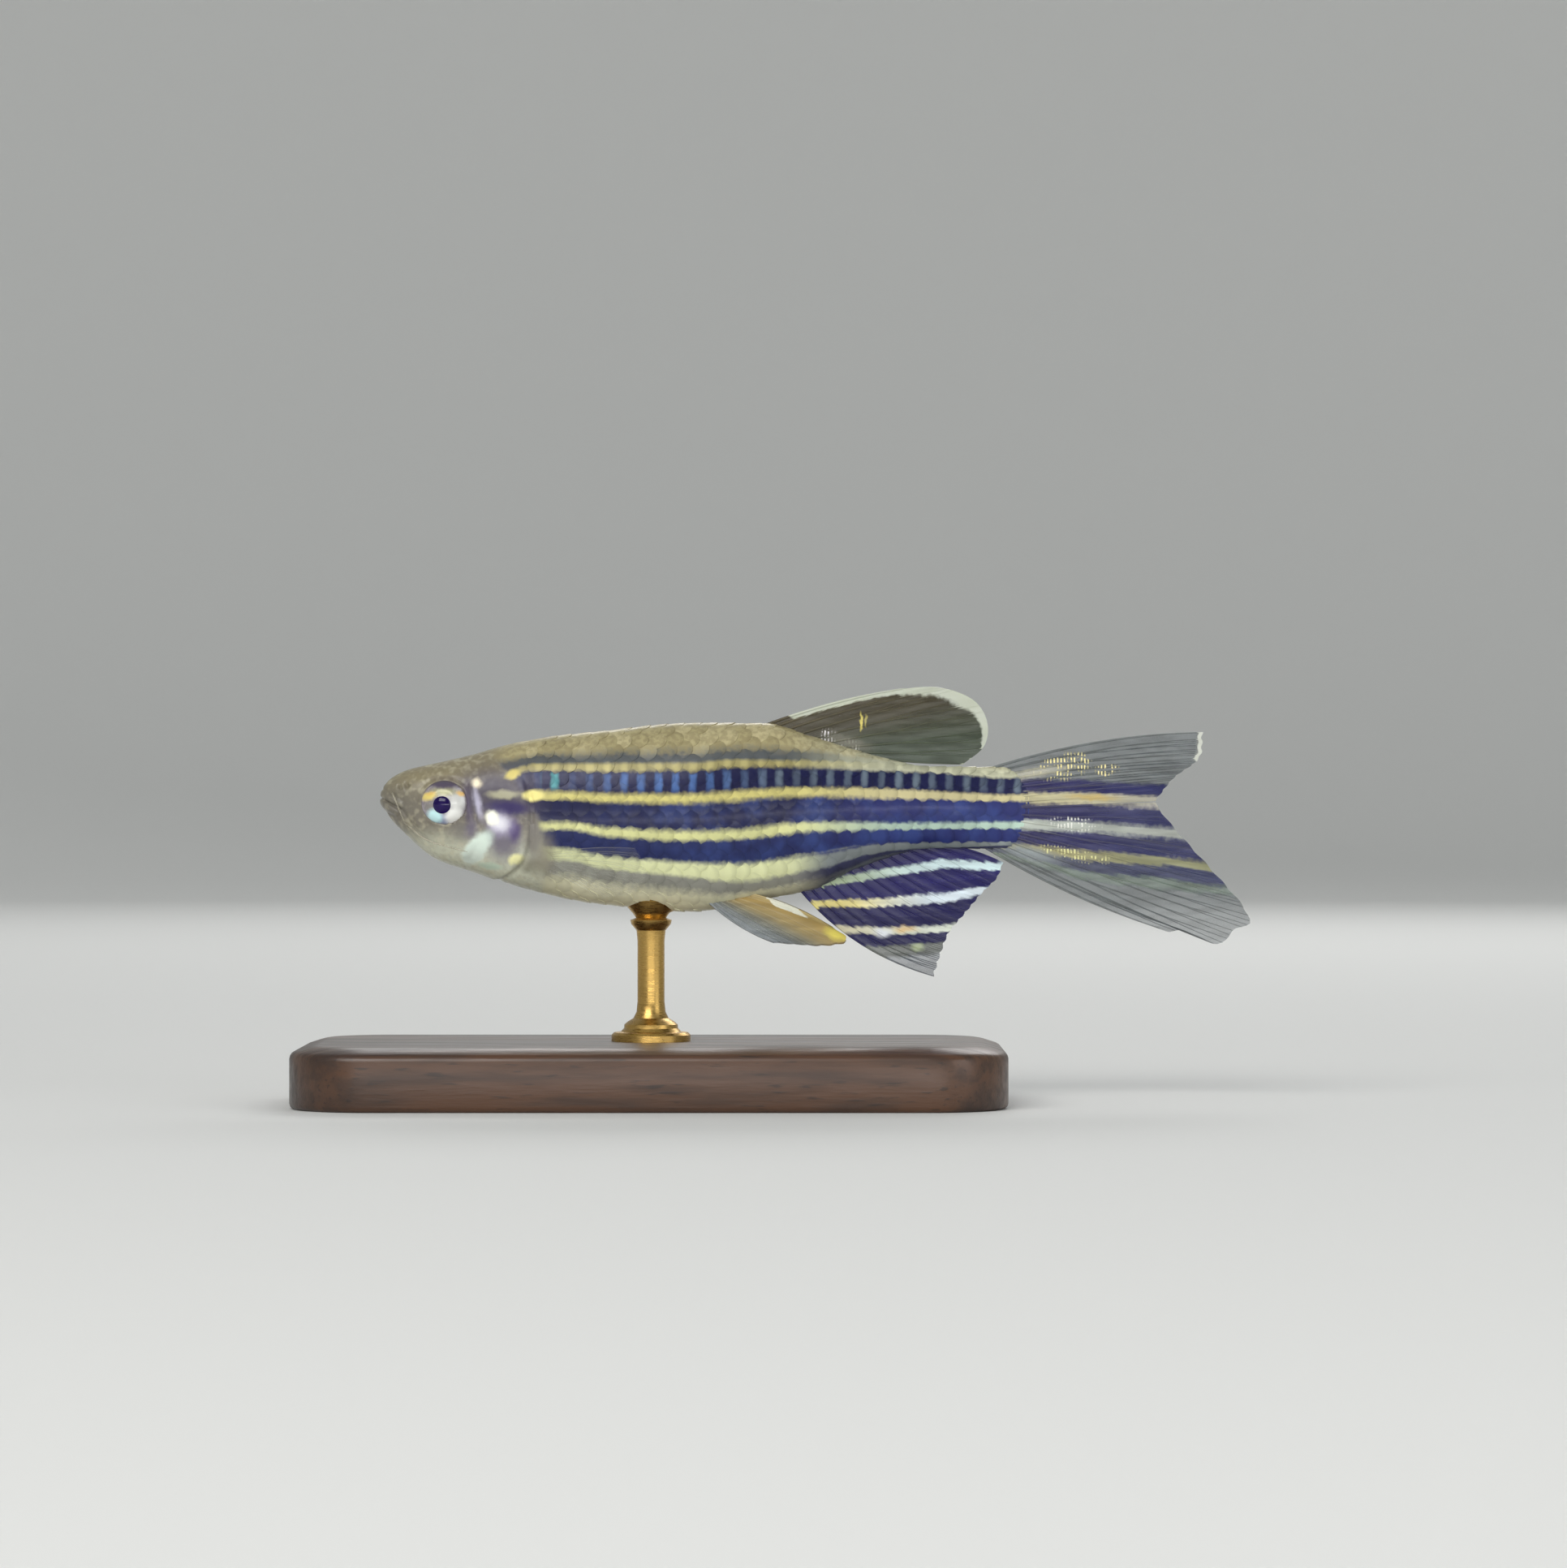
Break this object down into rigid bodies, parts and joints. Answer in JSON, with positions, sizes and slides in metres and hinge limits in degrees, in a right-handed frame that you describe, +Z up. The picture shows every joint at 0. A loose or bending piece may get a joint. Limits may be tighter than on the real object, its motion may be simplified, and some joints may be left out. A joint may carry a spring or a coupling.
{
  "type": "zebra danio",
  "caption": "Still, life-size zebra danio in side view: a slim striped body with a swept dorsal fin, a deep anal fin and a forked tail fin, held over a flat base by one short rod.",
  "frame": {"origin": "middle of the underside of the stand's base", "axes": "-X the way the fish faces, -Y its left side, +Z up"},
  "size_m": [0.046, 0.017, 0.0201],
  "materials": {
    "head_skin": "thin wet skin over a tan and olive head, with silver patches",
    "gill_cover": "violet grey, part mirror silver",
    "iris": "silver iris, golden above, under a clear cornea",
    "pupil": "deep violet black, glossy",
    "barbel": "pale tan, soft",
    "striped_skin": "dark blue stripes between yellow and cream ones, under fine scales",
    "clear_fin": "clear olive skin with a cream edge",
    "striped_fin": "clear skin with dark blue and cream stripes",
    "paired_fin": "clear skin with a golden tint",
    "stand_base": "dark stained wood, satin",
    "stand_rod": "satin brass"
  },
  "bodies": {
    "root": {"head": "head_skin", "lower_jaw": "head_skin", "gill_cover_left": "gill_cover", "gill_cover_right": "gill_cover", "eye_left": "iris", "eye_right": "iris", "pupil_left": "pupil", "pupil_right": "pupil", "barbel_snout_left": "barbel", "barbel_snout_right": "barbel", "barbel_mouth_left": "barbel", "barbel_mouth_right": "barbel", "torso": "striped_skin", "tail": "striped_skin", "dorsal_fin": "clear_fin", "anal_fin": "striped_fin", "tail_fin_upper": "striped_fin", "tail_fin_lower": "striped_fin", "pelvic_fin_left": "paired_fin", "pelvic_fin_right": "paired_fin", "pectoral_fin_left": "paired_fin", "pectoral_fin_right": "paired_fin", "stand_base": "stand_base", "stand_rod": "stand_rod"}
  },
  "joints": []
}
